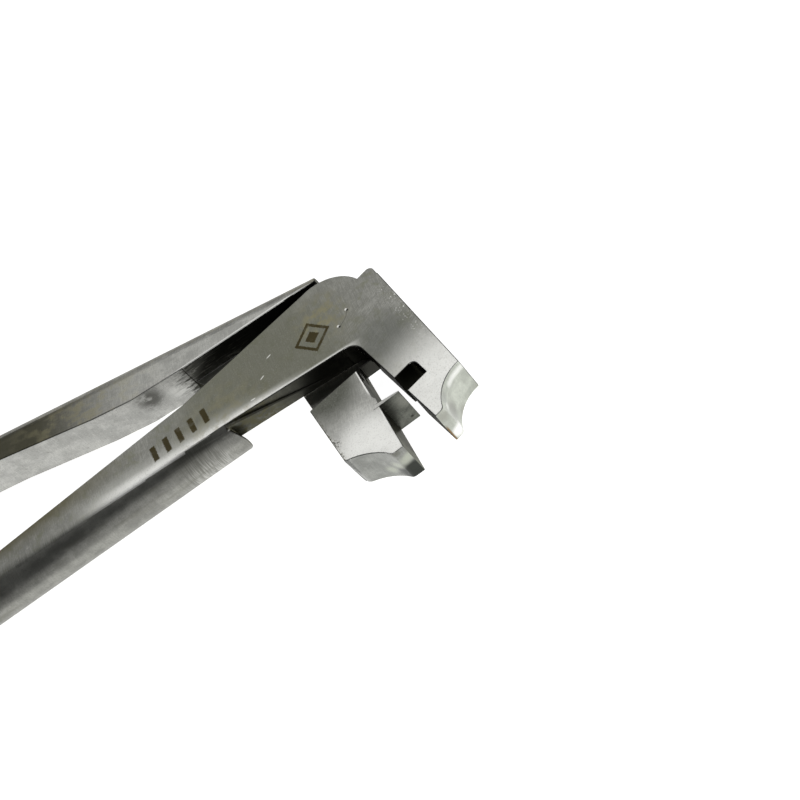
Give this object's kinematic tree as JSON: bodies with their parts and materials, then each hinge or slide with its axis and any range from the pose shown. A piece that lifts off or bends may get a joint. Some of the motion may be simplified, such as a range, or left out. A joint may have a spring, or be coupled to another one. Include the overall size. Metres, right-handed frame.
{
  "type": "right-angle grozing pliers",
  "caption": "Stainless lap-jointed pliers with both jaws bent square to the handles and a tongue that closes into a cross slot.",
  "frame": {"origin": "hinge axis where it meets the rear face the tool rests on", "axes": "+Z along the hinge axis out of the front face, handles towards -X, jaws towards -Y, closed jaws meet on the plane X = 0"},
  "size_m": [0.139, 0.0987, 0.0075],
  "materials": {
    "front_lever": "satin stainless, brushed across the lever",
    "rear_lever": "satin stainless, brushed across the lever",
    "guide_tongue": "dull ground steel",
    "pivot_rivet": "ground flush with the lever faces"
  },
  "bodies": {
    "front": {"front_lever": "front_lever", "pivot_rivet": "pivot_rivet"},
    "rear": {"rear_lever": "rear_lever", "guide_tongue": "guide_tongue"}
  },
  "joints": [
    {"name": "pliers_hinge", "type": "hinge", "parent": "front", "child": "rear", "pos_m": [0, 0, 0.00375], "axis": [0, 0, 1], "range_deg": [-30, 11.7]}
  ]
}
